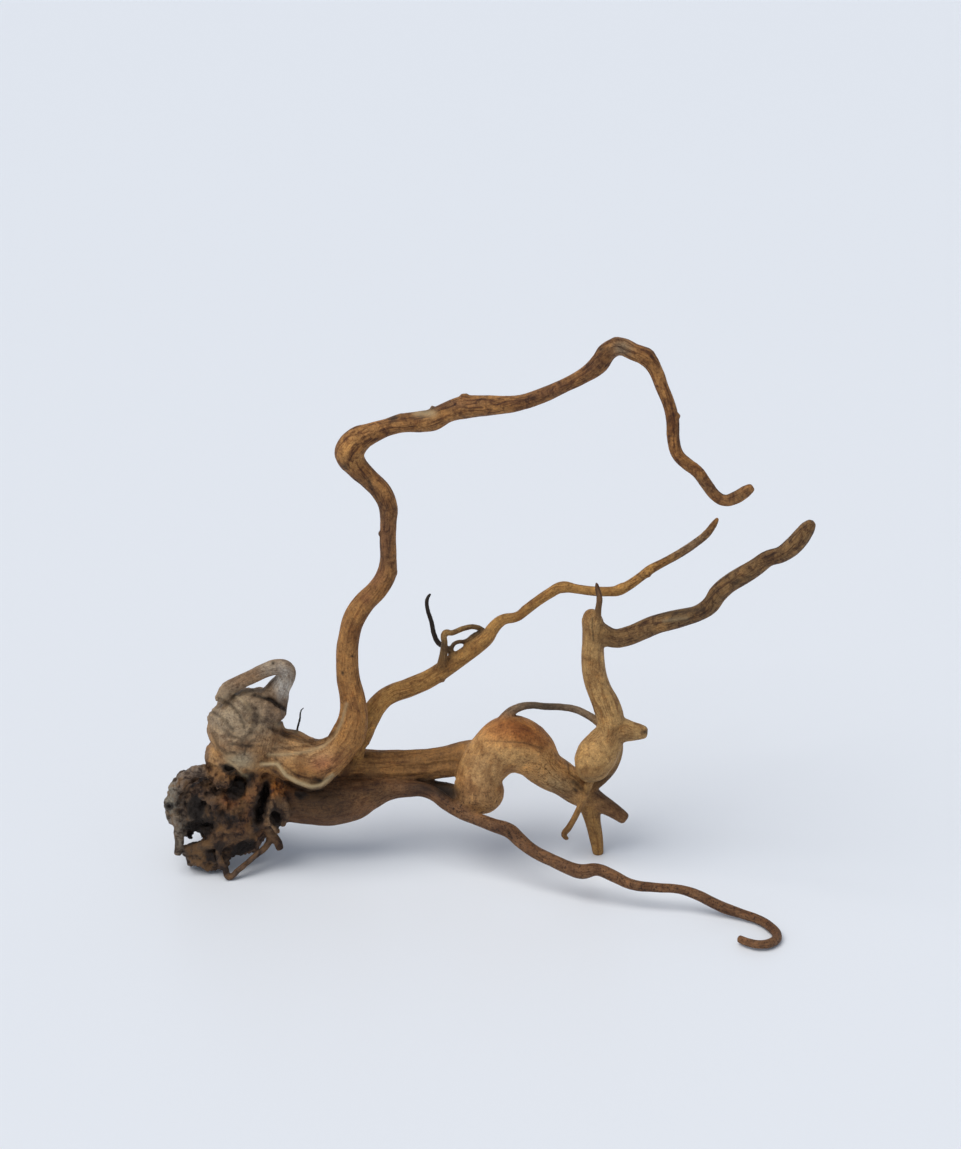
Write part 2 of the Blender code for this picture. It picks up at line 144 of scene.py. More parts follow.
# The middle root and its dead twigs: the same tan wood, thinning to a twig. The twigs have weathered to dark grey.
MIDDLE_ROOT = [
    (-130, 126, 48, 13), (-121, 142, 56, 11.5), (-112, 160, 62, 10.8), (-100, 178, 68, 10.3),
    (-88, 186.5, 73, 10), (-70, 193, 79, 9.8), (-52, 201, 85, 9.6), (-39, 209, 89, 9.6),
    (-18, 223, 94, 8.8), (-4, 233.5, 97, 8.2), (6, 242, 99, 7.4), (13, 252, 101, 6.6),
    (23, 260.5, 102, 5.7), (36, 263, 102, 5), (46, 270.5, 101, 5.4), (56, 278, 100, 5.2),
    (69, 286.5, 98, 5.4), (82, 293, 95, 5.9), (96, 291, 92, 4.9), (112, 289, 88, 4.9),
    (127, 288.5, 85, 4.9), (138, 289.5, 84, 5.4), (148, 294.5, 84, 5.2), (160, 303, 86, 4.7),
    (170, 310.5, 88, 4.9), (185, 318.5, 92, 4.3), (200, 327, 96, 4.2), (215, 337, 100, 4.3),
    (226, 346, 103, 4.1), (233, 355, 106, 3.5), (237.5, 362, 108, 1.8),
]
MIDDLE_STUB = [
    (-39, 212, 86, 6), (-37, 225, 85, 4.3), (-36, 237, 84, 3.3), (-35.5, 247, 84, 3.2),
    (-29, 247, 88, 3), (-17, 251.5, 97, 2.8), (-5, 253, 105, 2.7), (5, 248, 108, 2.6),
    (12, 242, 103, 2.5),
]
MIDDLE_HORN = [
    (-28, 225, 97, 3), (-34, 232, 99, 2.8), (-42, 237, 101, 2.7), (-46.5, 246, 103, 2.6),
    (-49, 258, 105, 2.5), (-53, 271, 107, 2.4), (-53.5, 280, 109, 2.2), (-50, 286.5, 110, 1.3),
]
MIDDLE_TWIG = [
    (-30, 223, 96, 2.6), (-27.5, 235, 99, 2.3), (-24, 237.5, 100, 2.2), (-15, 239, 103, 2.2),
    (-5, 246, 106, 2.2), (4, 248.5, 108, 2.2),
]
grow_limb(MIDDLE_ROOT, "A47A42")
grow_limb(MIDDLE_STUB, "8C6E42")
grow_limb(MIDDLE_HORN, "433930")
grow_limb(MIDDLE_TWIG, "5C4C3C")

# The trunk runs from the foot of the tall root into the back of the hump. Its surface is brown and grooved.
TRUNK = [
    (-145, 112, 58, 16), (-124, 115.5, 60, 16), (-100, 114.5, 60, 16.5), (-75, 115, 60, 16.5),
    (-52, 116.5, 60, 16.5), (-30, 119, 61, 17), (-10, 123, 62, 17.5), (8, 123, 60, 18),
]
# The keel under the trunk's end fills the dark gap before the hump's foot. Its dark colour, and the near-black
# washes on it, are painted shade.
TRUNK_KEEL_SHADE = [(-72, 101, 58, 11), (-58, 97, 58, 9.5), (-46, 92.5, 57, 8), (-34, 90, 53, 8), (-18, 84, 44, 9)]
grow_limb(TRUNK, "855F34")
grow_limb(TRUNK_KEEL_SHADE, "503B25")

# The front root: a belly under the trunk, of dark brown wood that a wash darkens further as painted shade of its
# underside, then a long reddish brown root, finely pitted, that trails forward and lies down in a hook.
FRONT_ROOT = [
    (-218, 80, 48, 22), (-195, 82, 47, 24), (-172, 81, 46, 25.5), (-148, 80, 45, 26.5),
    (-127, 83, 45, 23.5), (-110, 88, 45, 18), (-92, 91.5, 44, 12), (-74, 91.5, 42, 9),
    (-58, 90.5, 37, 7.5), (-46, 86, 31, 7.3), (-34, 77, 25, 7.4), (-21, 68.5, 19, 7), (-6, 62, 13, 6.5),
    (12, 55, 6, 7), (29, 49, -2, 7.8), (39, 40, -8, 7.5), (53, 29, -16, 6.8), (72, 19.5, -24, 6.2),
    (88, 12, -31, 7), (101, 8.5, -37, 7.8), (117, 10.5, -42, 6.3), (132, 4.5, -46, 6.4),
    (151, -4.5, -51, 5.8), (175, -7.5, -55, 4.9), (200, -9.5, -58, 4.9), (217, -15, -62, 5.4),
    (232, -22.5, -66, 5.5), (244, -28, -69, 5.7), (262, -34, -76, 5), (278, -39.5, -84, 4.9),
    (290, -47, -97, 5), (296.5, -55.5, -111, 5.2), (291, -62.5, -125, 4.8), (280, -64.5, -130, 4.4),
    (268, -62.5, -126, 4.2), (258, -58.5, -118, 3.9),
]
grow_limb(FRONT_ROOT, "715034")

# The hump: the thickest bend of the wood, orange brown and rubbed smooth on top, tan below, with a thin grey root
# bridging from its top to the stem.
HUMP = [
    (6, 81, 36, 17), (-1, 88, 36, 25), (-1, 105, 40, 24), (11, 124, 46, 26), (30, 136, 50, 30),
    (51, 127, 52, 25.5), (66, 111, 52, 19.5), (84, 100, 52, 17), (97, 89, 52, 15), (108, 81, 52, 13),
]
BRIDGE_TWIG = [
    (20, 154, 52, 8), (27, 165, 55, 5.5), (36, 171.5, 58, 4.3), (50, 174.7, 64, 3.8),
    (65, 173.5, 69, 3.7), (80, 173, 71, 3.7), (95, 170.5, 69, 3.8), (108, 164.5, 62, 4),
    (119, 157, 54, 4.4), (126, 150, 47, 4.6),
]
grow_limb(HUMP, "B38752")
grow_limb(BRIDGE_TWIG, "74624E")

# The fork that the arm stands on: a leg to the table, a cut stub and a thin rootlet in front.
STANDING_LEG = [
    (104, 85, 52, 12), (110.5, 68, 52, 9.6), (114, 51, 53, 8), (116.5, 37, 53, 6.5), (118, 25, 54, 5.4),
]
CUT_LEG = [(104, 88, 52, 12), (120, 77, 50, 9.3), (133, 69, 48, 8), (146, 60, 46, 6.8)]
THIN_LEG = [
    (110, 102, 38, 5), (106, 90, 36, 4), (101, 77, 36, 3.6), (95, 64, 36, 3.4), (88, 52, 36, 3.3),
    (83.5, 45.5, 36, 3), (87, 40.5, 36, 1.8),
]
grow_limb(STANDING_LEG, "956F3C")
grow_limb(CUT_LEG, "795837")
grow_limb(THIN_LEG, "815F35")

# The stem rises from a knob on the arm, pale tan, with a cut nub on its right and a spike on top. The right root
# leaves it near the top, darker, with long brown stains.
STEM = [
    (102, 103, 36, 9), (109.5, 113, 36, 19), (116, 125, 38, 21), (124, 137, 40, 18),
    (129.5, 148, 42, 14.8), (130, 160, 43, 13.8), (126, 174, 45, 13.6), (119, 190, 47, 12.8),
    (114, 205, 48, 12.2), (112, 220, 49, 11.8), (112.5, 237, 50, 11.4), (112.5, 251, 50, 11.4),
    (112, 260, 50, 11.2), (113, 266.5, 50, 8.8), (114.5, 270, 50, 5),
]
STEM_NUB = [
    (130, 149, 43, 15), (142, 150, 41, 12.4), (153, 148.5, 39, 9.4), (161, 148, 38, 7.6),
    (167, 147.5, 37.5, 6.2),
]
STEM_STRAND = [
    (133, 145, 45, 9), (133.5, 132, 46, 9.5), (129, 117, 49, 9.5), (119, 104, 52, 9.5),
    (110, 95, 53, 9),
]
STEM_SPIKE = [
    (116, 258, 46, 4.5), (118, 272, 45, 3.4), (119, 282, 44, 3.2), (117, 291, 43, 2.7),
    (116, 297, 43, 1.5),
]
RIGHT_ROOT = [
    (114, 252, 50, 10), (124, 245, 50, 10.5), (134, 241.5, 49, 9.6), (147, 244, 48, 9.9),
    (165, 251, 45, 10.3), (183, 257.5, 41, 9.9), (201, 262, 37, 9.2), (218, 267, 33, 8.6),
    (230, 275, 30, 9.2), (237, 285, 27, 9.6), (248, 295.5, 24, 9.4), (263, 305, 20, 9.4),
    (277, 313.5, 16, 9.2), (288, 321.5, 13, 8.6), (300, 325, 10, 8.8), (311, 332.5, 7, 9.3),
    (320, 342, 4, 9), (327, 351.5, 2, 7.8), (332, 358, 0, 5.6),
]
grow_limb(STEM, "AD8855")
grow_limb(STEM_NUB, "A88656")
grow_limb(STEM_STRAND, "785934")
grow_limb(STEM_SPIKE, "674C32")
grow_limb(RIGHT_ROOT, "7C5E39")

# The crook, a bent root end that arches over the burl, and a dead twig behind the flare. The crook's far arm is
# bleached to a pale grey.
CROOK = [
    (-258, 180, 36, 9), (-254, 190, 34, 7.2), (-243, 196.5, 32, 7.3), (-229, 203, 30, 7.5),
    (-216, 209.5, 30, 7.8), (-204, 213, 31, 8.4), (-194.5, 210.5, 34, 9), (-196, 200, 36, 10.5),
    (-203, 189, 36, 13.5), (-207, 178, 38, 16), (-212, 164, 40, 18),
]
DEAD_TWIG = [
    (-189, 128, 46, 3.5), (-186, 142, 58, 3.1), (-183.5, 152, 64, 2.8), (-181, 162, 68, 2.6),
    (-180, 169, 70, 2.4), (-176, 173.5, 71, 1.9),
]
grow_limb(CROOK, "88725A")
grow_limb(DEAD_TWIG, "2A231D")

# The rotten stump: ridges of pale callus that grew round the wound, a weathered grey rim, and rootlets and
# splinters that rot has left standing. The wood between them is dark brown and crumbling.
CALLUS_RIDGE = [
    (-218, 115, 12, 2.8), (-204, 116, 11, 2.7), (-194, 105, 10, 2.8), (-177, 96, 10, 3.0),
    (-164, 93, 12, 3.0), (-153, 99, 16, 2.7), (-144, 108, 22, 2.4),
]
STUMP_RIM = [
    (-272, 109, 18, 6), (-288, 107, 16, 6.5), (-301, 95, 15, 7), (-308.5, 82, 16, 7.2),
    (-309, 69, 18, 7), (-307, 56, 20, 5),
]
STUMP_LEDGE = [
    (-296, 31, 18, 5), (-284, 33, 14, 5), (-268, 36, 11, 5.5), (-252, 40, 12, 5), (-234, 49, 12, 5.5),
    (-219, 58, 14, 5),
]
STUMP_STRIP = [(-303, 66, 12, 5), (-302, 50, 12, 5), (-301, 36, 12, 4.8), (-303, 25, 10, 4.2)]
FRONT_ROOTLET = [
    (-250, 40, 8, 3.6), (-261, 31, 4, 3.4), (-261, 21, 2, 3.4), (-255, 11, 1, 3.3), (-252, 3, 0, 3.3),
    (-242, 10, 3, 3), (-228, 22, 10, 3), (-212, 37, 18, 3.4), (-210, 46, 24, 4),
]
STUMP_FINGER = [(-212, 49, 20, 5), (-203, 38, 17, 4.6), (-200, 30, 15, 4.2)]
STUMP_SPLINTER = [(-212, 72, 10, 3), (-209, 58, 8, 2.8), (-202, 47, 8, 3)]
STUMP_FLAKE = [(-198, 84, 20, 4), (-194, 68, 18, 4.6), (-199, 54, 16, 3.4)]
BELLY_TWIG = [(-190, 92, 14, 3.4), (-186, 80, 10, 2.8), (-179, 66, 9, 2)]
STUMP_STRAND = [(-226, 108, 22, 8), (-229, 90, 16, 7), (-230, 70, 16, 7), (-226, 50, 20, 7)]
BACK_FOOT = [(-235, 95, 72, 14), (-232, 78, 84, 11), (-230, 62, 93, 8.5), (-230, 47, 98, 6.5)]
grow_limb(CALLUS_RIDGE, "AC926B")
grow_limb(STUMP_RIM, "7B6D60")
grow_limb(STUMP_LEDGE, "5B422C")
grow_limb(STUMP_STRIP, "736556")
grow_limb(FRONT_ROOTLET, "5B4636")
grow_limb(STUMP_FINGER, "654C34")
grow_limb(STUMP_SPLINTER, "775E44")
grow_limb(STUMP_FLAKE, "624C36")
grow_limb(BELLY_TWIG, "875D32")
grow_limb(STUMP_STRAND, "6E4B2C")
grow_limb(BACK_FOOT, "56412D")

# The masses of the burl, the stump and the hump's foot, and the hollows that rot has left: a centre on the drawing,
# how far each reaches across, up and back, and its turn on the drawing in degrees, anticlockwise.
MASSES = [
    (-235, 152, 40, 38, 40, 37, 0),
    (-213, 168, 24, 18, 12, 16, -18),
    (-226, 178, 38, 24, 15, 22, 5),
    (-288, 56, 46, 17, 16, 14, 0),
    (-238, 118, 32, 32, 15, 27, 0),
    (-262, 124, 36, 13, 17, 22, 0),
    (-246, 74, 44, 41, 46, 38, 0),
    (-289, 80, 44, 22, 30, 32, 8),
    (-212, 84, 38, 21, 36, 30, 0),
    (-274, 25, 24, 25, 14, 20, -8),
    (-246, 46, 34, 32, 22, 26, 12),
    (-259, 104, 20, 14, 13, 12, 0),
    (-279, 90, 20, 14, 11, 12, 20),
    (-262, 78, 14, 12, 9, 9, -15),
    (-245, 64, 13, 9, 13, 9, 10),
    (2, 88, 36, 22, 22, 22, 0),
]
HOLLOWS = [
    (-287.5, 42, 16, 7.5, 4.4, 60, 10),
    (-279, 53, 8, 15, 6.5, 20, 8),
    (-219, 74, 8, 5.5, 26, 24, -13),
    (-244, 91, 6, 7, 10, 20, -22),
    (-285, 72, 4, 7, 10, 13, 0),
    (-252, 111, 6, 5, 3.5, 12, -20),
    (-311, 74, 8, 2.6, 2.2, 12, 0),
    (-205, 62, 10, 4, 9, 12, 15),
    (-180, 86, 16, 4.5, 4, 10, 0),
    (-238, 32, 2, 12, 4, 14, 35),
]


def add_blob(across, up, back, reach_across, reach_up, reach_back, turn):
    """A rounded mass, or the shape of a hollow, that stands square to the drawing and is turned on it."""
    centre, grow = place(across, up, back)
    bpy.ops.mesh.primitive_ico_sphere_add(subdivisions=5, radius=grow * UNIT)
    blob = bpy.context.object
    lean = Matrix.Rotation(-LEAN, 4, "X") @ Matrix.Rotation(-math.radians(turn), 4, "Y")
    blob.matrix_world = Matrix.Translation(centre) @ lean @ Matrix.Diagonal((reach_across, reach_back, reach_up, 1))
    return blob


masses = [add_blob(*mass) for mass in MASSES]

# One skin over all of it: the lengths and masses are fused, the hollows are taken out, and the skin is smoothed
# where the wood is thick, as bare wood is worn round while twigs keep their width.
SKIN_STEP = 1.15
THIN_RADIUS = 4.0
THICK_RADIUS = 9.0
RAGGED_WAVE = 7
RAGGED_DEPTH = 2.6


def fuse(parts, name):
    """The parts as one object, still made of separate skins that run through each other."""
    bpy.ops.object.select_all(action="DESELECT")
    for part in parts:
        part.select_set(True)
    bpy.context.view_layer.objects.active = parts[0]
    bpy.ops.object.convert(target="MESH")
    bpy.ops.object.join()
    whole = bpy.context.object
    whole.name = whole.data.name = name
    bpy.ops.object.transform_apply(location=True, rotation=True, scale=True)
    return whole


def apply(wood, kind, **settings):
    """Adds a modifier to the wood and applies it."""
    modifier = wood.modifiers.new(kind.title(), kind)
    for setting, value in settings.items():
        setattr(modifier, setting, value)
    bpy.context.view_layer.objects.active = wood
    bpy.ops.object.modifier_apply(modifier=modifier.name)


def vertices(mesh, kind="co"):
    """The mesh's vertex positions, or its normals, as an array."""
    numbers = np.empty(len(mesh.vertices) * 3)
    mesh.vertices.foreach_get(kind, numbers)
    return numbers.reshape(-1, 3)


def set_vertices(mesh, co):
    """Moves the mesh's vertices."""
    mesh.vertices.foreach_set("co", co.ravel())
    mesh.update()


def bumps(points, kind, *settings):
    """A noise at each point."""
    return np.array([kind(Vector(point), *settings) for point in points])


root = fuse(limbs + masses, "weathered_root")
apply(root, "REMESH", mode="VOXEL", voxel_size=SKIN_STEP * UNIT)
rot = fuse([add_blob(*hollow) for hollow in HOLLOWS], "rot")
apply(rot, "REMESH", mode="VOXEL", voxel_size=SKIN_STEP * UNIT)
co = vertices(rot.data)
ragged = bumps(co / (RAGGED_WAVE * UNIT), noise.fractal, 0.8, 2.0, 3)
set_vertices(rot.data, co + vertices(rot.data, "normal") * (RAGGED_DEPTH * ragged * UNIT)[:, None])
apply(rot, "REMESH", mode="VOXEL", voxel_size=SKIN_STEP * UNIT)
apply(root, "BOOLEAN", operation="DIFFERENCE", object=rot, solver="MANIFOLD")
bpy.data.objects.remove(rot)
apply(root, "REMESH", mode="VOXEL", voxel_size=SKIN_STEP * UNIT)

skin = bmesh.new()
skin.from_mesh(root.data)
waiting = set(skin.verts)
islands = []
while waiting:
    front = [waiting.pop()]
    island = set(front)
    while front:
        vertex = front.pop()
        for edge in vertex.link_edges:
            other = edge.other_vert(vertex)
            if other in waiting:
                waiting.discard(other)
                island.add(other)
                front.append(other)
    islands.append(island)
islands.sort(key=len)
for island in islands[:-1]:
    bmesh.ops.delete(skin, geom=list(island), context="VERTS")
skin.to_mesh(root.data)
skin.free()


# The grain: every length of wood is followed along its middle, so that each point of the skin knows which root it
# belongs to, how far along the root it is, and where it lies round it. The grain runs along all of them.
def trace(route, number):
    """The middle of one length of wood every 2 mm: place, radius, distance along it and two directions across it."""
    spots = [place(*point[:3]) for point in route]
    path = np.array([tuple(co) for co, _ in spots]) / UNIT
    width = np.array([point[3] * grow for point, (_, grow) in zip(route, spots)])
    along = np.concatenate(([0], np.cumsum(np.linalg.norm(np.diff(path, axis=0), axis=1))))
    steps = np.linspace(0, along[-1], max(4, int(along[-1] / 2)))
    middle = np.stack([np.interp(steps, along, path[:, axis]) for axis in range(3)], 1)
    for _ in range(2):
        middle[1:-1] = (middle[:-2] + 2 * middle[1:-1] + middle[2:]) / 4
    course = np.gradient(middle, axis=0)
    course /= np.linalg.norm(course, axis=1)[:, None]
    across = np.empty_like(course)
    side = np.cross(course[0], (0.31, 0.83, 0.46))
    for step, way in enumerate(course):
        side = side - way * side.dot(way)
        side /= np.linalg.norm(side)
        across[step] = side
    return middle, np.interp(steps, along, width), steps + 731 * number, course, across, np.cross(course, across)


traces = [trace(route, number) for number, (route, colour) in enumerate(grown)]
centre, radius, reach, course, side, over = [np.concatenate(column) for column in zip(*traces)]


colours = np.concatenate([np.tile(colour, (len(run[1]), 1)) for run, (_, colour) in zip(traces, grown)])


def read_grain(co):
    """For points of the skin in mm: the nearest sample, the place in the straightened root, where the grain wanders
    a little, the blended wood colour, and how far the point lies outside every root."""
    nearest = np.empty(len(co), int)
    clear = np.empty(len(co))
    tint = np.empty((len(co), 3))
    for start in range(0, len(co), 4000):
        chunk = co[start : start + 4000]
        gap = (chunk**2).sum(1)[:, None] + (centre**2).sum(1)[None] - 2 * chunk @ centre.T
        gap = np.sqrt(np.maximum(gap, 0)) - radius[None]
        closest = gap.argmin(1)
        nearest[start : start + 4000] = closest
        clear[start : start + 4000] = gap.min(1)
        pull = np.exp(-(gap - gap.min(1)[:, None]) / 2.5)
        tint[start : start + 4000] = pull @ colours / pull.sum(1)[:, None]
    offset = co - centre[nearest]
    straight = np.stack(
        [
            reach[nearest] + (offset * course[nearest]).sum(1),
            (offset * side[nearest]).sum(1),
            (offset * over[nearest]).sum(1),
        ],
        1,
    )
    wander = bumps(co / 17, noise.noise_vector)
    return nearest, straight + wander * (6, 2.2, 2.2), tint, clear


def neighbours(mesh):
    """The mesh's edges, and how many meet at each vertex."""
    edges = np.empty(len(mesh.edges) * 2, int)
    mesh.edges.foreach_get("vertices", edges)
    edges = edges.reshape(-1, 2)
    return edges, np.bincount(edges.ravel(), minlength=len(mesh.vertices))


def spread(values, edges, count):
    """Each vertex's value as the average of its neighbours' values."""
    total = np.bincount(edges[:, 0], values[edges[:, 1]], len(count))
    total += np.bincount(edges[:, 1], values[edges[:, 0]], len(count))
    return total / count


co = vertices(root.data)
nearest, straight, _, clear = read_grain(co / UNIT)
thick = np.clip((radius[nearest] - THIN_RADIUS) / (THICK_RADIUS - THIN_RADIUS), 0, 1)
thick = np.maximum(thick, np.clip((clear - 1) / 3, 0, 1))
edges, count = neighbours(root.data)
for _ in range(12):
    soft = np.stack([spread(co[:, axis], edges, count) for axis in range(3)], 1)
    co += (soft - co) * (0.5 * thick)[:, None]
set_vertices(root.data, co)

# The relief: long low waves on the sound roots, deep lumps on the rotten end, fine ridges along the grain, wrinkles
# and ripples where the burl's wood was squeezed as it grew, and crumbling fibres in the stump.
GRAIN_WAVE = 26
GRAIN_SWELL = 0.9
ROT_WAVE = 9
ROT_SWELL = 3.4


def on_drawing(co):
    """Where points, in mm, fall on the drawing: across and up."""
    deep = co[:, 1] * math.cos(LEAN) - co[:, 2] * math.sin(LEAN)
    rise = co[:, 1] * math.sin(LEAN) + co[:, 2] * math.cos(LEAN)
    grow = 1 + deep / EYE_DISTANCE
    return np.stack([co[:, 0] / grow, EYE_UP + (rise - EYE_UP) / grow], 1)


def faces_eye(co, normals):
    """1 where the skin faces the viewer, falling to 0 where it turns away."""
    sight = np.array(tuple(eye / UNIT)) - co
    sight /= np.linalg.norm(sight, axis=1)[:, None]
    return np.clip((normals * sight).sum(1) * 4, 0, 1)


def ramp(low, high, values):
    """0 below low, 1 above high, and even between them."""
    return np.clip((values - low) / (high - low), 0, 1)


def burl_part(drawn):
    """1 on the burl and the stump."""
    return ramp(-190, -212, drawn[:, 0]) * ramp(199, 191, drawn[:, 1])


def stump_part(drawn):
    """1 on the stump, below the burl's lip."""
    return ramp(-186, -196, drawn[:, 0]) * ramp(118, 108, drawn[:, 1] + 0.25 * (drawn[:, 0] + 250))


def worn_part(drawn):
    """1 on the hump's round foot and top and on the stem's knob, which are rubbed smooth."""
    hump = np.exp(-(((drawn[:, 0] - 5) / 46) ** 4 + ((drawn[:, 1] - 118) / 48) ** 4))
    knob = np.exp(-(((drawn[:, 0] - 117) / 24) ** 4 + ((drawn[:, 1] - 118) / 22) ** 4))
    return np.maximum(hump, knob)


normals = vertices(root.data, "normal")
flat = co / UNIT
drawn = on_drawing(flat)
rotten = ramp(-190, -222, flat[:, 0]) * ramp(205, 190, flat[:, 2])
low = bumps(co / (GRAIN_WAVE * UNIT), noise.noise)
rot = bumps(co / (ROT_WAVE * UNIT), noise.fractal, 0.9, 2.0, 3)
stump = stump_part(drawn)
burl = burl_part(drawn) * (1 - stump)
swell = GRAIN_SWELL * low * (0.3 + 0.7 * thick) + ROT_SWELL * rot * rotten * thick * (1 - 0.65 * burl)
ridge = bumps(straight / (60, 4.6, 4.6), noise.noise)
fibre = bumps(straight / (26, 2.2, 2.2), noise.noise)
worn = worn_part(drawn)
swell += (0.42 * ridge + 0.26 * fibre) * (0.25 + 0.75 * thick) * (1 - 0.75 * worn)
fold = bumps(flat / (22, 22, 14), noise.noise)
wrinkle = bumps(flat / (9, 9, 6), noise.turbulence, 2, False) - 0.4
pucker = bumps(flat / 3.2, noise.noise)
swell += burl * (2.4 * fold + 0.9 * wrinkle + 0.3 * pucker) * (0.15 + 0.85 * thick)
crumble = bumps(flat / (14, 15, 20), noise.ridged_multi_fractal, 0.9, 2.1, 3, 1.0, 2.0) - 1.1
splinter = bumps(flat / (4, 5, 11), noise.turbulence, 2, False) - 0.45
swell += stump * (2.1 * np.clip(crumble, -1.4, 1.2) + 1.2 * splinter) * (0.1 + 0.9 * thick)
groove = bumps(straight / (150, 8, 8), noise.turbulence, 2, False)
grooved = ramp(-222, -205, drawn[:, 0]) * ramp(-122, -140, drawn[:, 0]) * ramp(200, 180, drawn[:, 1])
trunk = ramp(-150, -135, drawn[:, 0]) * ramp(5, -5, drawn[:, 0]) * ramp(98, 104, drawn[:, 1]) * ramp(136, 132, drawn[:, 1])
swell += np.maximum(grooved * ramp(110, 118, drawn[:, 1]), trunk) * 2.6 * (groove - 0.5)
ripple = ramp(-226, -219, drawn[:, 0]) * ramp(-200, -206, drawn[:, 0]) * ramp(116, 121, drawn[:, 1]) * ramp(146, 140, drawn[:, 1])
swell += ripple * 0.5 * np.sin((drawn[:, 0] - 0.25 * (drawn[:, 1] - 130)) * 2 * math.pi / 2.6)
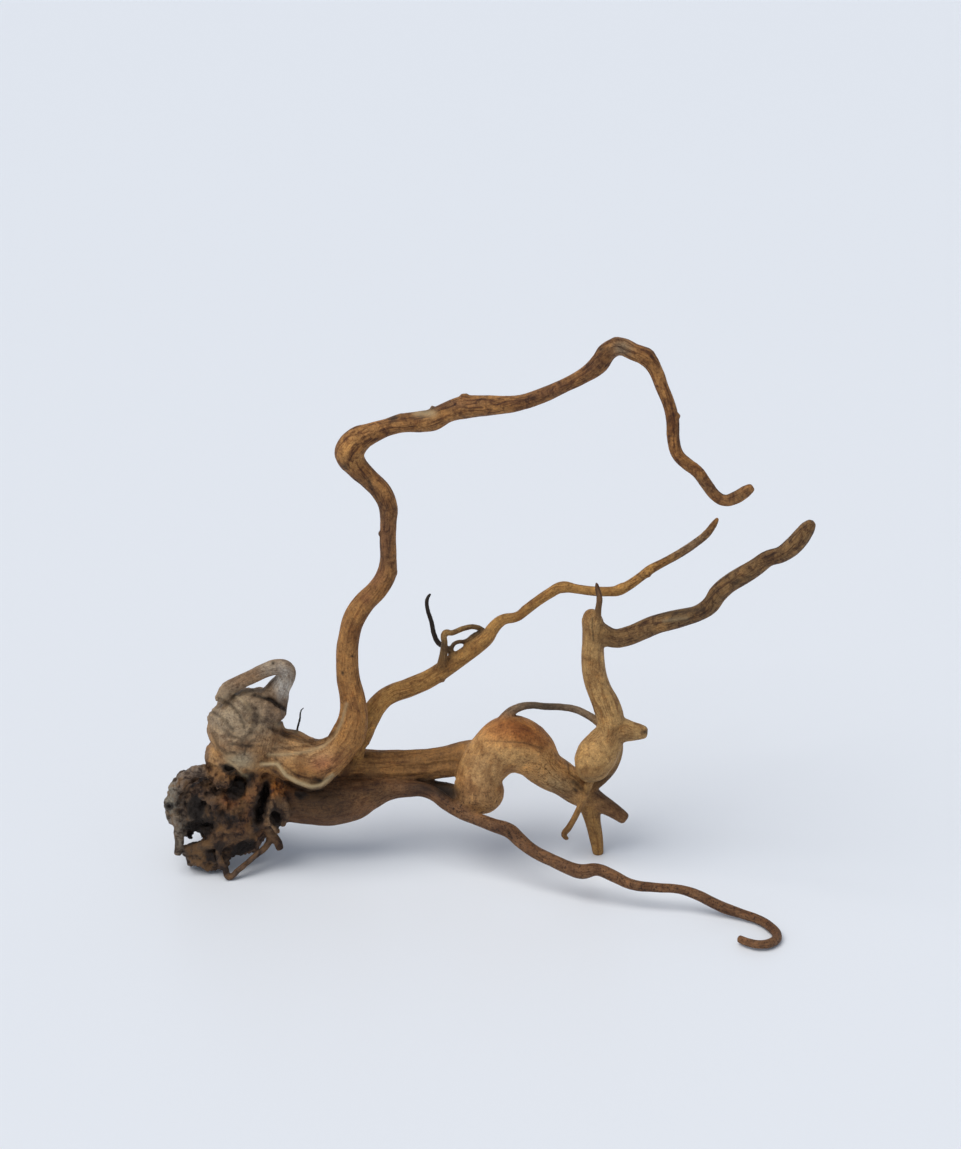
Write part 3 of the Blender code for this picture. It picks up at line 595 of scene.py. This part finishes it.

# Scars, cracks, knots and beetle holes, with painted shade along the burl's fold, the flare's grooves and beside the
# callus, and painted highlights along the flare's ridges: a line on the drawing, half its width, how far it stands
# proud or is sunk, and how dark (below 0) or pale (above 0) the wood is painted there.
MARKS = [
    ([(-88, 462), (-85, 462.5)], 3.6, -0.9, -0.9),
    ([(-91, 466), (-80, 467)], 1.6, 0.7, 0.1),
    ([(-64, 467.5), (-48, 466.5)], 3.6, 0.1, 0.7),
    ([(-55, 469), (-47, 474)], 2.2, -1.2, -0.7),
    ([(-18, 484), (-14, 485)], 2.4, 2.2, -0.5),
    ([(-112, 399), (-108, 392)], 1.6, -0.8, -0.7),
    ([(-101, 347), (-101, 346)], 2.0, 1.6, -0.4),
    ([(-86, 308), (-86, 307)], 2.2, 1.6, -0.4),
    ([(-92, 320), (-90, 345)], 1.0, -0.3, -0.5),
    ([(-98, 360), (-93, 375)], 1.0, -0.3, -0.4),
    ([(-50, 473), (-48, 472)], 2.2, 2.6, 0.0),
    ([(-136, 414), (-135, 413)], 3.5, 0.6, -0.8),
    ([(-138, 207), (-137.6, 206.5)], 1.3, -1.2, -1.0),
    ([(-128.5, 224), (-128, 223.5)], 1.2, -1.2, -1.0),
    ([(-126, 372), (-121, 366), (-116, 357)], 1.3, -0.3, -0.5),
    ([(134, 544), (137, 543)], 4.0, 1.2, -0.3),
    ([(120, 531), (123, 531)], 3.0, 0.5, -0.7),
    ([(168, 529), (171, 527)], 3.0, 0.8, -0.4),
    ([(166, 307), (168, 305)], 1.9, 1.7, -0.2),
    ([(28, 48), (31, 42)], 1.4, -1.3, -0.7),
    ([(60, 22), (66, 24)], 1.3, -0.8, -0.5),
    ([(197, 465), (199, 463)], 1.6, 1.8, -0.2),
    ([(184, 449), (185, 443)], 1.2, -0.4, -0.6),
    ([(24, 138.5), (45, 137), (62, 131)], 0.9, -0.3, -0.6),
    ([(5, 139), (24, 138.5)], 0.8, -0.2, -0.4),
    ([(28, 170), (34, 165), (50, 150)], 0.8, -0.2, -0.2),
    ([(92, 97.5), (98, 96)], 3.0, -1.6, -0.8),
    ([(99, 93), (101, 91)], 2.4, -1.6, -0.9),
    ([(94, 91), (96, 89)], 1.8, -1.2, -0.8),
    ([(86, 122), (90, 105), (104, 97.5), (120, 99), (134, 106)], 1.1, -0.8, -0.6),
    ([(100, 100.5), (112, 101), (122, 104)], 1.2, -0.4, -0.4),
    ([(112, 262), (112, 250), (113, 240)], 0.7, -0.5, -0.7),
    ([(163, 147.5), (166, 147.5)], 2.4, -1.4, -0.7),
    ([(180, 266), (200, 268), (222, 271)], 2.6, -0.3, -0.65),
    ([(183, 259), (206, 262)], 1.6, 0.4, 0.35),
    ([(254, 297), (268, 303)], 2.2, -0.3, -0.7),
    ([(226, 282), (236, 290)], 1.8, -0.2, -0.4),
    ([(-208, 171), (-203, 168)], 7.0, 2.4, 0.0),
    ([(-184, 150), (-182, 160), (-180, 169), (-176, 174)], 3.0, 0.0, -0.95),
    ([(-34, 232), (-43, 238), (-49, 258), (-53, 271), (-50, 287)], 3.0, 0.0, -0.75),
    ([(-226, 185), (-213, 181), (-200, 174), (-193, 169)], 1.7, -2.6, -0.95),
    # Painted shade: the fold between the burl's left mass and the flare, sunk and painted dark.
    ([(-225, 170), (-224, 157), (-229, 146), (-238, 138)], 3.6, -2.4, -0.45),
    ([(-215, 160), (-204, 157), (-194, 160)], 2.0, -1.2, -0.35),
    ([(-253, 122), (-241, 117), (-230, 114)], 5.0, 3.0, 0.4),
    ([(-268, 146), (-262, 133), (-254, 126), (-246, 127)], 1.6, -1.6, -0.6),
    ([(-258, 113), (-248, 108), (-238, 104), (-228, 104)], 2.4, -2.6, -0.9),
    ([(-252, 136), (-244, 135), (-238, 133)], 1.3, -1.4, -0.7),
    ([(-268, 168), (-257, 161), (-247, 149)], 1.5, -1.3, -0.5),
    ([(-262, 181), (-250, 176), (-240, 164), (-236, 152)], 1.6, -1.4, -0.5),
    ([(-258, 151), (-249, 143), (-241, 141)], 1.2, -1.1, -0.45),
    ([(-247, 186), (-236, 178), (-230, 170)], 1.6, 1.2, 0.3),
    ([(-270, 150), (-263, 141), (-262, 130)], 1.4, -1.2, -0.5),
    ([(-239, 136), (-234, 133), (-229, 134)], 1.6, -1.5, -0.9),
    ([(-234, 133), (-236, 126)], 1.1, -1.1, -0.7),
    ([(-234, 133), (-229, 139), (-226, 140)], 1.0, -0.9, -0.6),
    ([(-212, 181.5), (-206, 178), (-201.5, 175)], 1.4, -2.2, -1.0),
    ([(-207.5, 217), (-207.3, 217)], 1.5, -1.5, -1.0),
    ([(-252, 118), (-245, 114), (-238, 106), (-234, 104)], 1.8, 1.5, 0.5),
    ([(-249, 111), (-243, 106)], 2.0, -2.0, -0.9),
    ([(-166, 101), (-160, 99)], 1.6, -1.5, -0.9),
    ([(-183, 87), (-180, 85)], 1.5, -1.6, -0.9),
    ([(84, 290), (86, 291)], 4.0, 0.9, 0.0),
    ([(30, 262), (34, 264)], 4.0, 0.8, 0.0),
    ([(137, 296), (140, 296)], 3.0, 1.0, -0.1),
    ([(-40, 200), (-37, 199)], 2.0, 1.4, -0.3),
    ([(-311.5, 74), (-311, 73.5)], 1.9, -2.0, -1.0),
    # The next four: the flare's grooves and ridges. The sunk grooves are painted dark as painted shade, and the
    # raised ridges are painted pale as painted highlights.
    ([(-210, 152), (-190, 143), (-172, 138.5), (-156, 140.5), (-147, 148)], 2.0, -2.4, -0.6),
    ([(-204, 156), (-188, 149), (-170, 145), (-158, 146)], 1.8, 1.0, 0.35),
    ([(-207, 131), (-184, 132.5), (-166, 136), (-152, 145)], 1.6, -1.5, -0.4),
    ([(-212, 125), (-190, 126), (-172, 129), (-157, 134), (-146, 144), (-139, 158), (-134, 176)], 1.7, 1.4, 0.55),
    ([(-219, 116), (-203, 116.5), (-195, 105), (-183, 98), (-169, 93.5), (-160, 95), (-148, 105)], 1.7, 0.6, 0.9),
    # The next two: painted shade in the sunk lines just above and just below the callus ridge.
    ([(-205, 121), (-194, 112), (-184, 104.5), (-170, 100), (-158, 101.5), (-149, 112)], 1.2, -1.0, -0.4),
    ([(-207, 110), (-197, 100), (-184, 92.5), (-170, 88.5), (-158, 90)], 1.6, -1.2, -0.6),
]
# Broad washes of colour in the wood, some of them painted shade under the trunk's end and on the belly: a centre on
# the drawing, how far it reaches across and up, its turn in degrees, the colour and how strong it is.
WASHES = [
    (-104, 304, 9, 12, 0, "7A4B38", 0.4),
    (-95, 342, 11, 36, 0, "5E402A", 0.85),
    (-106, 380, 9, 14, 30, "4E3421", 0.6),
    (68, 489, 32, 9, 20, "5C3923", 0.75),
    (-116, 398, 10, 16, 35, "6A4D30", 0.6),
    (2, 112, 20, 20, 0, "B3956A", 0.5),
    (30, 124, 26, 9, 0, "B09060", 0.4),
    (-20, 476, 26, 5, 5, "6A4A36", 0.5),
    (110, 512, 16, 8, 45, "5E3E27", 0.7),
    (-114, 282, 6, 7, 0, "7D4838", 0.3),
    (-152, 121, 16, 9, 0, "A06245", 0.3),
    (-148, 136, 13, 12, 0, "AD7A3E", 0.5),
    (-176, 130, 34, 15, 0, "C09A6C", 0.65),
    (-205, 135, 16, 18, 0, "9A7F60", 0.6),
    (142, 532, 12, 10, 0, "756856", 0.8),
    (222, 393, 16, 10, 0, "6E553B", 0.6),
    (208, 338, 26, 12, 30, "72604E", 0.75),
    (199, 262, 16, 7, 10, "58452C", 0.6),
    (128, 526, 8, 9, 0, "694727", 0.5),
    (-128, 430, 13, 20, 0, "B4854C", 0.8),
    (200, 450, 12, 60, 0, "82572C", 0.5),
    (255, 386, 26, 12, 0, "6B4E31", 0.6),
    (33, 150, 36, 15, -10, "A4672F", 0.9),
    (54, 142, 20, 11, -30, "98602E", 0.8),
    (0, 85, 26, 16, 0, "8A6845", 0.6),
    (80, 92, 22, 14, -30, "92805F", 0.6),
    (-60, 116, 60, 12, 0, "825C31", 0.4),
    # The belly's dark wood, darkened further as painted shade of its underside.
    (-160, 78, 44, 22, 0, "4B341D", 0.95),
    (-105, 88, 24, 12, 0, "5E4326", 0.7),
    # Painted shade: the keel under the trunk's end and the wood round it are washed near black.
    (-58, 92, 18, 8, 0, "3C2A1B", 0.8),
    (-34, 89, 15, 9, -12, "1F150E", 0.95),
    (-30, 76, 20, 8, 0, "5B3E27", 0.5),
    (20, 50, 30, 10, 0, "66482F", 0.5),
    (62, 174, 18, 5, 0, "413932", 0.6),
    (-36, 229, 6, 13, 0, "866C4B", 0.5),
    (-5, 250, 12, 6, 0, "463B32", 0.6),
    (-246, 158, 34, 34, 0, "97866E", 0.95),
    (-268, 116, 9, 22, 0, "A87F4B", 0.7),
    (-240, 120, 15, 9, 10, "968C76", 0.8),
    (-206, 168, 13, 12, 0, "6A5643", 0.8),
    (-196, 196, 11, 22, 10, "B5AEA4", 1.0),
    (-214, 212, 12, 6, 30, "A39A8C", 0.6),
    (-234, 202, 20, 8, 25, "82664B", 0.7),
    (-258, 104, 14, 12, 0, "7C552B", 0.85),
    (-282, 90, 22, 18, 0, "593F28", 0.85),
    (-250, 70, 30, 26, 0, "503722", 0.9),
    (-250, 78, 11, 8, 0, "84542F", 0.6),
    (-235, 84, 7, 9, 0, "865630", 0.6),
    (-240, 52, 12, 7, 0, "754C2B", 0.5),
    (-228, 60, 8, 12, 0, "7D522C", 0.5),
    (-206, 92, 14, 10, 0, "A0642C", 0.9),
    (-160, 116, 12, 9, 0, "9A5E44", 0.45),
    (-276, 28, 24, 16, 0, "4D3C2B", 0.9),
    (-311, 82, 10, 26, 0, "7A756A", 0.9),
    (-300, 45, 7, 22, 0, "766D61", 0.8),
    (-266, 62, 22, 8, 10, "1C1511", 0.8),
    (-246, 58, 8, 12, -10, "2A1E15", 0.7),
    (-232, 98, 6, 8, 0, "1D1611", 0.8),
    (-226, 62, 6, 20, -10, "1D1611", 0.6),
    (-200, 68, 8, 14, 0, "6A543F", 0.6),
]


def measure_line(points, line):
    """How far points of the drawing lie from a line through two or more others."""
    best = np.full(len(points), np.inf)
    for first, last in zip(line[:-1], line[1:]):
        first = np.array(first, float)
        way = np.array(last) - first
        share = np.clip(((points - first) @ way) / (way @ way), 0, 1)
        best = np.minimum(best, np.linalg.norm(points - first - share[:, None] * way, axis=1))
    return best


front = faces_eye(flat, normals)
for line, wide, proud, _ in MARKS:
    gap = measure_line(drawn, line)
    swell += proud * np.exp(-((gap / wide) ** 2)) * (front if proud < 0 else 1)
set_vertices(root.data, co + normals * (swell * UNIT)[:, None])

# The feet are worn flat where they stand on the table, and the mesh is thinned where the wood is smooth.
feet = bmesh.new()
feet.from_mesh(root.data)
everything = feet.verts[:] + feet.edges[:] + feet.faces[:]
bmesh.ops.bisect_plane(feet, geom=everything, dist=1e-7, plane_co=(0, 0, 0), plane_no=(0, 0, -1), clear_outer=True)
bmesh.ops.holes_fill(feet, edges=[edge for edge in feet.edges if edge.is_boundary])
feet.to_mesh(root.data)
feet.free()
MOST_TRIANGLES = 190000
share = MOST_TRIANGLES / sum(len(face.vertices) - 2 for face in root.data.polygons)
apply(root, "DECIMATE", ratio=min(1.0, share), use_collapse_triangulate=True)
cad_low, cad_high = (np.array(corner) + tuple(MIDDLE) for corner in cad_box)
set_vertices(root.data, np.clip(vertices(root.data), cad_low, cad_high))
root.data.shade_smooth()

# Every point of the finished skin keeps what the wood's finish reads: its place in the straightened root, its
# colour, how rotten it is, how deep it lies in creases, which are painted dark as shade, and how sharply it is
# rounded on crests, which are painted pale as highlights.
co = vertices(root.data)
normals = vertices(root.data, "normal")
flat = co / UNIT
nearest, straight, tint, clear = read_grain(flat)
drawn = on_drawing(flat)
front = faces_eye(flat, normals)
dark = np.zeros(len(co))
pale = np.zeros(len(co))
for across, up, reach_across, reach_up, turn, colour, strength in WASHES:
    turned = math.radians(turn)
    gap = drawn - (across, up)
    along = gap @ (math.cos(turned), math.sin(turned)) / reach_across
    upward = gap @ (-math.sin(turned), math.cos(turned)) / reach_up
    amount = strength * np.exp(-1.2 * (along**2 + upward**2) ** 1.5)
    tint += (linear(colour) - tint) * amount[:, None]
# Dark and pale lines: scars, cracks, knots and holes, with painted shade along the burl's fold, the flare's grooves
# and beside the callus, and painted highlights along the flare's ridges.
for line, wide, _, tone in MARKS:
    amount = np.exp(-((measure_line(drawn, line) / (wide * 1.1)) ** 2)) * front * abs(tone)
    if tone < 0:
        dark = np.maximum(dark, amount)
    else:
        pale = np.maximum(pale, amount)
# Painted shade and painted highlight from the skin's relief: how concave each point is, spread a little and spread
# wide.
edges, count = neighbours(root.data)
lean = co[edges[:, 1]] - co[edges[:, 0]]
lean /= np.maximum(np.linalg.norm(lean, axis=1), 1e-9)[:, None]
rise = np.bincount(edges[:, 0], (lean * normals[edges[:, 0]]).sum(1), len(co))
rise -= np.bincount(edges[:, 1], (lean * normals[edges[:, 1]]).sum(1), len(co))
crease_shade = rise / count
for _ in range(4):
    crease_shade = (crease_shade + spread(crease_shade, edges, count)) / 2
broad_crease_shade = crease_shade
for _ in range(30):
    broad_crease_shade = (broad_crease_shade + spread(broad_crease_shade, edges, count)) / 2
stump = stump_part(drawn)
burl = burl_part(drawn) * (1 - stump)
# Painted shade in the rot hollows: the skin in and round each hollow is painted darker, most where it lies deep.
hollow_shade = np.zeros(len(co))
for across, up, back, reach_across, reach_up, reach_back, turn in HOLLOWS:
    turned = math.radians(turn)
    gap = drawn - (across, up)
    along = gap @ (math.cos(turned), math.sin(turned)) / (reach_across + 2)
    upward = gap @ (-math.sin(turned), math.cos(turned)) / (reach_up + 2)
    depth = (flat[:, 1] - back) / reach_back
    sunk = ramp(-0.4, 0.6, depth)
    hollow_shade = np.maximum(hollow_shade, ramp(1.3, 0.8, along**2 + upward**2) * (0.65 + 0.35 * sunk) * ramp(1.7, 1.2, depth))


def keep(name, values):
    """Stores one number, or a colour, for each vertex."""
    if values.ndim == 1:
        store = root.data.attributes.new(name, "FLOAT", "POINT")
        store.data.foreach_set("value", values)
    else:
        store = root.data.attributes.new(name, "FLOAT_VECTOR", "POINT")
        store.data.foreach_set("vector", values.ravel())


pitted = 0.15 + 0.85 * ramp(-70, -30, drawn[:, 0]) * ramp(94, 86, drawn[:, 1]) * ramp(12, -6, flat[:, 1] - 20)
pitted = np.maximum(pitted, 0.7 * np.exp(-(((drawn[:, 0] - 55) / 45) ** 2 + ((drawn[:, 1] - 108) / 18) ** 2)))
keep("grain", straight * UNIT)
keep("pitted", pitted)
keep("tint", tint)
# Dark marks, partly real scars, cracks and stains and partly painted shade, together with the painted shade of the
# hollows.
keep("stain_and_shade", np.clip(np.maximum(dark, hollow_shade), 0, 1))
# Pale marks: the callus, the burl's lip and pale scars, with painted highlights along the flare's ridges.
keep("bleach_and_highlight", pale)
# Painted shade: the deeper a point lies in creases, narrow or wide, the darker it is painted.
keep("crease_shade", np.clip(ramp(0.02, 0.28, crease_shade) + 0.8 * ramp(0.01, 0.10, broad_crease_shade), 0, 1))
# Painted highlight: the sharper the skin's crests, the paler they are painted.
keep("crest_highlight", ramp(-0.05, -0.30, crease_shade))
keep("rot", np.maximum(stump, 0.3 * burl))
keep("ochre", 0.55 * stump)
keep("stained", 0.7 * np.maximum(ramp(285, 330, drawn[:, 1]), ramp(130, 150, drawn[:, 0]) * ramp(225, 240, drawn[:, 1])))
keep("fibrous", 0.75 - 0.55 * np.maximum(worn_part(drawn), np.maximum(stump, burl)))
root.data.transform(Matrix.Translation(-MIDDLE))

# The wood's finish: bare root wood, washed and sun dried, with no bark and no varnish. The eye sees a matte surface
# with streaks along the grain, brown stains and pin holes, painted shade in creases and hollows, and painted
# highlights on crests and ridges.
wood = bpy.data.materials.new("bare_weathered_root_wood")
wood.use_nodes = True
tree = wood.node_tree
tree.nodes.clear()


def add(kind, settings=None, links=None):
    """Adds a node: settings are its own values, links are its sockets, each a plain value or another's output."""
    made = tree.nodes.new(kind)
    for setting, value in (settings or {}).items():
        setattr(made, setting, value)
    for socket, value in (links or {}).items():
        if isinstance(value, bpy.types.NodeSocket):
            tree.links.new(value, made.inputs[socket])
        else:
            made.inputs[socket].default_value = value
    return made


grain = add("ShaderNodeAttribute", {"attribute_name": "grain"}).outputs["Vector"]
there = add("ShaderNodeTexCoord").outputs["Object"]
held = {}
for name in ("pitted", "stain_and_shade", "bleach_and_highlight", "crease_shade", "crest_highlight", "rot", "ochre", "stained", "fibrous"):
    held[name] = add("ShaderNodeAttribute", {"attribute_name": name}).outputs["Fac"]

# Noises that the colours below are laid by: what each is measured along, its size along and across the grain in mm,
# how many finer sizes it holds and how strong they are.
NOISES = {
    "streak": (grain, 42, 3.2, 4, 0.6),
    "fibre": (grain, 14, 1.1, 4, 0.65),
    "patch": (there, 24, 24, 5, 0.6),
    "blotch": (there, 12, 12, 4, 0.6),
    "mottle": (there, 7, 7, 5, 0.65),
    "speck": (there, 2.1, 2.1, 3, 0.7),
}
noises = {}
for name, (where, long, wide, detail, roughness) in NOISES.items():
    scale = (1 / (long * UNIT), 1 / (wide * UNIT), 1 / (wide * UNIT))
    stretched = add("ShaderNodeMapping", {}, {"Vector": where, "Scale": scale}).outputs[0]
    links = {"Vector": stretched, "Scale": 1.0, "Detail": detail, "Roughness": roughness, "Distortion": 0.5}
    noises[name] = add("ShaderNodeTexNoise", {}, links).outputs["Fac"]

# Layers over the wood's own colour: the noise or the stored number that places one, the values at which it starts
# and is whole, how strong it gets, its colour, and whether that is mixed in or darkens what is there.
LAYERS = [
    (noises["patch"], 0.50, 0.66, 0.75, "B9A48E", "MULTIPLY"),
    (noises["patch"], 0.47, 0.33, 0.80, "8A8270", "DODGE"),
    (noises["mottle"], 0.52, 0.68, 0.55, "A98F7E", "MULTIPLY"),
    (noises["mottle"], 0.46, 0.32, 0.90, "8A806C", "DODGE"),
    (noises["mottle"], 0.46, 0.66, held["stained"], "A08878", "MULTIPLY"),
    (noises["streak"], 0.48, 0.66, held["stained"], "A08878", "MULTIPLY"),
    (noises["streak"], 0.51, 0.64, held["fibrous"], "B9A592", "MULTIPLY"),
    (noises["fibre"], 0.54, 0.74, 0.90, "8F8674", "DODGE"),
    (noises["fibre"], 0.46, 0.30, held["fibrous"], "AE9A88", "MULTIPLY"),
    (noises["speck"], 0.52, 0.66, 0.45, "9C887A", "MULTIPLY"),
    (noises["speck"], 0.47, 0.34, 0.90, "8A806C", "DODGE"),
    (noises["mottle"], 0.52, 0.66, held["rot"], "9A8A7C", "MULTIPLY"),
    (noises["blotch"], 0.50, 0.60, held["rot"], "90827A", "MULTIPLY"),
    (noises["blotch"], 0.47, 0.36, held["ochre"], "755431", "MIX"),
    (noises["speck"], 0.55, 0.66, held["pitted"], "5A463A", "MULTIPLY"),
    # Painted highlight: crests are made paler.
    (held["crest_highlight"], 0.0, 1.0, 0.90, "8F8674", "DODGE"),
    # Painted shade: creases are darkened.
    (held["crease_shade"], 0.0, 1.0, 0.80, "8C7C70", "MULTIPLY"),
    # Dark marks and hollows painted near black: real scars and stains, and painted shade.
    (held["stain_and_shade"], 0.0, 1.0, 0.92, "1B130E", "MIX"),
    # Pale marks painted in: the callus and pale scars, and painted highlights along the flare's ridges.
    (held["bleach_and_highlight"], 0.0, 1.0, 0.75, "B8A47E", "MIX"),
]
colour = add("ShaderNodeAttribute", {"attribute_name": "tint"}).outputs["Vector"]
for place_by, low, high, most, code, way in LAYERS:
    links = {"Value": place_by, "From Min": low, "From Max": high, "To Max": most}
    share = add("ShaderNodeMapRange", {}, links).outputs[0]
    links = {0: share, 6: colour, 7: (*linear(code), 1)}
    colour = add("ShaderNodeMix", {"data_type": "RGBA", "blend_type": way}, links).outputs[2]

grain_height = add("ShaderNodeMath", {"operation": "MULTIPLY"}, {0: noises["fibre"], 1: held["fibrous"]}).outputs[0]
crumb_height = add("ShaderNodeMath", {"operation": "MULTIPLY"}, {0: noises["speck"], 1: held["rot"]}).outputs[0]
height = add("ShaderNodeMath", {"operation": "ADD"}, {0: grain_height, 1: crumb_height}).outputs[0]
height = add("ShaderNodeMath", {"operation": "ADD"}, {0: height, 1: noises["mottle"]}).outputs[0]
dent = add("ShaderNodeBump", {}, {"Height": height, "Strength": 0.8, "Distance": 1.5 * UNIT}).outputs[0]
links = {"Value": noises["fibre"], "From Min": 0.3, "From Max": 0.7, "To Min": 0.78, "To Max": 0.55}
sheen = add("ShaderNodeMapRange", {}, links).outputs[0]
links = {"Base Color": colour, "Roughness": sheen, "Specular IOR Level": 0.3, "Normal": dent}
finish = add("ShaderNodeBsdfPrincipled", {}, links)
add("ShaderNodeOutputMaterial", {}, {"Surface": finish.outputs[0]})
root.data.materials.clear()
root.data.materials.append(wood)
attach(root, "root")
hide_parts("dry_root")

# The table: a plain pale sheet, faintly glossy, lit by a wide soft light overhead and a pale room all round.
bpy.ops.mesh.primitive_plane_add(size=60, location=(0, 0, 0))
table = bpy.context.object
table.name = "pale_table"
sheet = bpy.data.materials.new("pale_painted_sheet")
sheet.use_nodes = True
paint = sheet.node_tree.nodes["Principled BSDF"]
paint.inputs["Base Color"].default_value = (*linear("E6EAF1"), 1)
paint.inputs["Roughness"].default_value = 0.32
paint.inputs["IOR"].default_value = 1.4
table.data.materials.append(sheet)
bpy.ops.object.light_add(type="SUN", location=(-0.6, 0.4, 2))
lamp = bpy.context.object
lamp.name = "overhead_softbox"
lamp.data.angle = math.radians(48)
lamp.data.energy = 2.2
lamp.data.color = linear("FFFBF4")
lamp.rotation_euler = Vector((0.42, 0.28, -1)).to_track_quat("-Z", "Y").to_euler()
room = bpy.data.worlds.new("pale_room")
room.use_nodes = True
tree = room.node_tree
tree.nodes.clear()
sight = add("ShaderNodeTexCoord").outputs["Generated"]
height = add("ShaderNodeSeparateXYZ", {}, {0: sight}).outputs["Z"]
links = {"Value": height, "From Min": 0.0, "From Max": 0.5, "To Min": 1.15, "To Max": 0.44}
glow = add("ShaderNodeMapRange", {}, links).outputs[0]
walls = add("ShaderNodeBackground", {}, {"Color": (*linear("DFE8F5"), 1), "Strength": glow}).outputs[0]
add("ShaderNodeOutputWorld", {}, {"Surface": walls})
bpy.context.scene.world = room
bpy.context.scene.view_settings.view_transform = "Standard"
